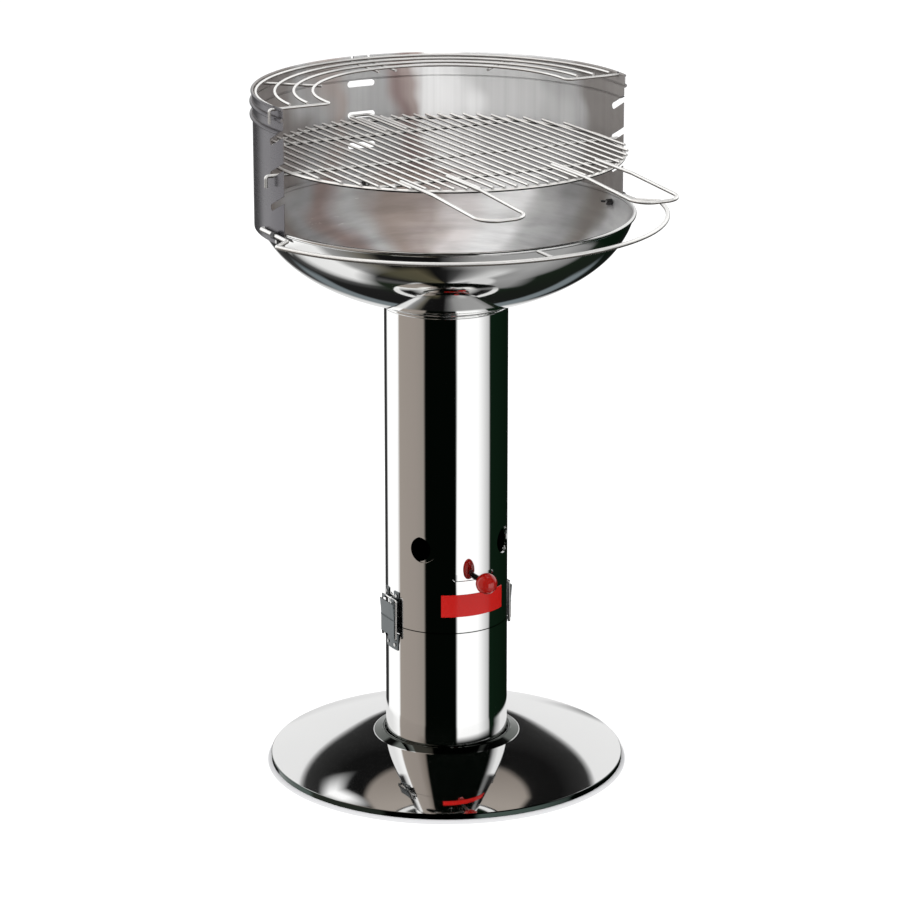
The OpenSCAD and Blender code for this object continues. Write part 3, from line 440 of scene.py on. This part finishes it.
PLAIN_STRENGTH = 1.12
CEILING_WHITE = (1.0, 0.99, 0.97)
BEIGE = (0.35, 0.31, 0.275)
BEIGE_SHADE = (0.33, 0.29, 0.26)
NIGHT = (0.0008, 0.0016, 0.001)
DEEP_GREEN = (0.014, 0.02, 0.013)


def share(degrees):
    """An angle as a share of the full turn."""
    return degrees / 360


def up(degrees):
    """An elevation as a share of the half turn from straight down to straight up."""
    return degrees / 180 + 0.5


class Sky:
    """The direction that a reflected ray leaves in."""

    def __init__(self, t):
        self.t = t
        way = t.node("ShaderNodeTexCoord").outputs["Generated"]
        self.ahead = t.vector("DOT_PRODUCT", way, tuple(to_camera))
        self.right = t.vector("DOT_PRODUCT", way, tuple(to_right))
        self.height = t.height(way)
        turn = t.math("DIVIDE", t.math("ARCTAN2", self.right, self.ahead), 2 * math.pi)
        self.round = t.math("ADD", turn, 0.5)
        self.rise = t.math("ADD", t.math("DIVIDE", t.math("ARCSINE", self.height), math.pi), 0.5)
        self.off_front = t.math("ABSOLUTE", t.math("SUBTRACT", self.round, 0.5))
        self.off_back = t.math("SUBTRACT", 0.5, self.off_front)

    def by_azimuth(self, *stops):
        return self.t.ramp(self.round, [(share(azimuth) + 0.5, tone) for azimuth, tone in stops])

    def by_elevation(self, *stops):
        return self.t.ramp(self.rise, [(up(elevation), tone) for elevation, tone in stops])

    def climb(self, low, high):
        """From 0 at one elevation to 1 at the other."""
        return self.t.between(self.rise, up(low), up(high))


def level_boards(sky):
    """Boards round the grill, which the column mirrors as upright bands."""
    return sky.by_azimuth(
        (-180, 0.85), (-172, 0.70), (-166, 0.05), (-146, 0.02), (-141, 1.1), (-101, 1.1), (-97, BEIGE),
        (-60, BEIGE_SHADE), (-43, (0.30, 0.27, 0.24)), (-39, NIGHT), (18, NIGHT), (22, 1.15), (62, 1.1),
        (86, 0.55), (90, (0.004, 0.012, 0.006)), (150, (0.003, 0.008, 0.004)), (172, 0.01), (176, 0.85),
        (180, 0.85))


def high_boards(sky):
    """Boards above the others, which the foot's near side mirrors."""
    return sky.by_azimuth(
        (-180, 0.85), (-141, 1.0), (-101, 1.1), (-96, BEIGE), (-60, BEIGE_SHADE), (-44, (0.22, 0.19, 0.165)),
        (-38, NIGHT), (95, NIGHT), (110, 0.3), (180, 0.3))


def slanted_streak(t, sky):
    """Where a bright streak slants across the dark above the wall, on the left."""
    along = t.math("SUBTRACT", sky.off_back, t.between(sky.rise, up(31), up(46), share(9), share(25)))
    streak = t.between(t.math("ABSOLUTE", along), share(4.5), share(1.0))
    streak = t.math("MULTIPLY", streak, sky.climb(38, 46))
    streak = t.math("MULTIPLY", streak, sky.climb(57, 50))
    return t.math("MULTIPLY", streak, t.between(sky.round, 0.3, 0.29))


def warm_lobe(t, sky):
    """Where the warm board hangs over the wall's middle, wider the higher it is."""
    edge = sky.by_elevation((31, 0.0), (34, share(4)), (42, share(11)), (52, share(21)), (62, share(26)))
    return t.between(t.math("SUBTRACT", edge, sky.off_back), share(-0.5), share(1.5))


def back_wall(t, sky):
    """The white wall behind the grill, lowest in the middle, with the dark and the boards above it."""
    wall_top = t.between(sky.off_back, 0, share(30), up(14), up(41))
    above = t.math("SUBTRACT", sky.rise, wall_top)
    wall = t.ramp(t.between(above, -10 / 180, 10 / 180),
                  [(0.0, 0.86), (0.46, 0.85), (0.5, 0.4), (0.56, 0.03), (1.0, 0.006)])
    wall = t.mix(sky.climb(58, 80), wall, 0.9)
    wall = t.mix(slanted_streak(t, sky), wall, 1.1)
    lobe_tone = sky.by_elevation((31, 0.12), (40, (0.24, 0.21, 0.185)), (58, (0.36, 0.32, 0.285)))
    return t.mix(warm_lobe(t, sky), wall, lobe_tone)


def upper_half(t, sky, level):
    high = t.mix(sky.climb(8, 16), level, high_boards(sky))
    ceiling_start = t.between(sky.off_front, share(50), share(75), up(84), up(64))
    ceiling = t.between(t.math("SUBTRACT", sky.rise, ceiling_start), 0, 8 / 180)
    front = t.mix(ceiling, high, CEILING_WHITE)
    side = t.ramp(sky.off_front, [(share(100), 0.0), (share(125), 1.0)])
    return t.mix(side, front, back_wall(t, sky))


def bright_patch(t, sky, below, right, ahead, width, depth, tone):
    """A soft oval low down, placed by the ray's parts to the right and towards the camera."""
    off = t.pair(t.math("SUBTRACT", sky.right, right), t.math("SUBTRACT", sky.ahead, ahead))
    off = t.vector("LENGTH", t.vector("DIVIDE", off, (width, depth, 1)))
    seen = t.math("MULTIPLY", t.between(off, 1.15, 0.75), t.between(sky.height, -0.3, -0.5))
    return t.mix(seen, below, tone)


def lower_half(t, sky):
    """The dim floor, which the bowl's underside mirrors."""
    floor = sky.by_azimuth(
        (-180, 0.01), (-150, 0.015), (-140, 0.08), (-134, 0.5), (-126, 0.85), (-100, 0.9), (-90, 0.34),
        (-84, 0.28), (-64, (0.15, 0.14, 0.115)), (-50, 0.008), (-6, 0.006), (6, 0.12), (22, 0.30), (42, 0.36),
        (90, 0.37), (106, 0.27), (115, 0.2), (122, (0.01, 0.016, 0.01)), (180, 0.01))
    near_foot = sky.by_azimuth(
        (-180, DEEP_GREEN), (-125, DEEP_GREEN), (-110, 0.09), (-95, 0.015), (-68, (0.075, 0.07, 0.045)),
        (-32, (0.09, 0.08, 0.05)), (-14, 0.006), (0, 0.012), (15, 0.06), (40, 0.35), (54, 0.58), (68, 0.68),
        (82, 0.30), (103, 0.33), (140, 0.25), (147, (0.012, 0.02, 0.013)), (180, DEEP_GREEN))
    floor = t.mix(sky.climb(-59, -67), floor, near_foot)
    floor = bright_patch(t, sky, floor, -0.15, -0.15, 0.055, 0.13, 0.80)
    floor = bright_patch(t, sky, floor, 0.20, -0.01, 0.075, 0.13, 0.66)
    far_edge = t.math("MULTIPLY", t.between(sky.off_back, share(32), share(24)), sky.climb(-43, -40))
    return t.mix(far_edge, floor, (0.18, 0.21, 0.225))


def make_world():
    world = bpy.data.worlds.new("studio")
    scene.world = world
    world.use_nodes = True
    t = Tree(world.node_tree)
    sky = Sky(t)
    level = level_boards(sky)
    below = t.mix(sky.climb(-34, -30), lower_half(t, sky), level)
    shine = t.mix(sky.climb(-6, 2), below, upper_half(t, sky, level))
    reflected = t.node("ShaderNodeBackground")
    t.put(reflected.inputs[0], shine)
    plain = t.node("ShaderNodeBackground")
    plain.inputs[0].default_value = colour(1)
    plain.inputs[1].default_value = PLAIN_STRENGTH
    choice = t.node("ShaderNodeMixShader")
    t.put(choice.inputs[0], t.node("ShaderNodeLightPath").outputs["Is Glossy Ray"])
    t.put(choice.inputs[1], plain.outputs[0])
    t.put(choice.inputs[2], reflected.outputs[0])
    t.put(t.node("ShaderNodeOutputWorld").inputs[0], choice.outputs[0])


FLOOR_HALF = 30
FLOOR_DROP = 0.0006
# The shade on the paper where the foot stands, a little towards the camera
SHADE_RADIUS = 0.2545
SHADE_EDGE = 0.001
SHADE_SHIFT = 0.012
SHADE_TONE = (0.58, 0.58, 0.59)


def make_floor():
    mesh = bpy.data.meshes.new("studio_floor")
    s = FLOOR_HALF
    mesh.from_pydata([(-s, -s, 0), (s, -s, 0), (s, s, 0), (-s, s, 0)], [], [(0, 1, 2, 3)])
    floor = bpy.data.objects.new("studio_floor", mesh)
    scene.collection.objects.link(floor)
    floor.location.z = -FLOOR_DROP
    floor.visible_glossy = False
    mat, t, shader, place = material("studio_paper")
    paper = t.mix(t.noise(place, 3, 2), (0.94, 0.94, 0.94), (0.96, 0.96, 0.96))
    off = t.radius(t.vector("SUBTRACT", place, tuple(to_camera * SHADE_SHIFT)))
    shade = t.between(off, SHADE_RADIUS - SHADE_EDGE, SHADE_RADIUS + SHADE_EDGE)
    t.put(shader.inputs["Base Color"], t.mix(shade, SHADE_TONE, paper))
    shader.inputs["Roughness"].default_value = 0.35
    shader.inputs["Specular IOR Level"].default_value = 0
    mesh.materials.append(mat)


# Name, azimuth and elevation in degrees, width and height in metres, power in watts
LIGHTS = (
    ("key", -55, 50, (1.6, 1.6), 40),
    ("fill", 60, 35, (1.6, 1.6), 20),
    ("front", 5, 42, (1.8, 1.2), 14),
)
LIGHT_DISTANCE = 3.0
LIGHT_AIM = Vector((0, 0, 0.5))


def make_light(name, azimuth, elevation, size, power):
    data = bpy.data.lights.new(name, "AREA")
    data.shape = "RECTANGLE"
    data.size, data.size_y = size
    data.energy = power
    obj = bpy.data.objects.new(name, data)
    scene.collection.objects.link(obj)
    a, e = math.radians(azimuth) + CAM_AZIMUTH, math.radians(elevation)
    back = Vector((math.sin(a) * math.cos(e), -math.cos(a) * math.cos(e), math.sin(e)))
    obj.location = LIGHT_AIM + back * LIGHT_DISTANCE
    obj.rotation_mode = "QUATERNION"
    obj.rotation_quaternion = (-back).to_track_quat("-Z", "Y")
    obj.visible_glossy = False


make_camera()
dress_sheet()
dress_wires()
dress_fittings()
make_world()
make_floor()
for light in LIGHTS:
    make_light(*light)
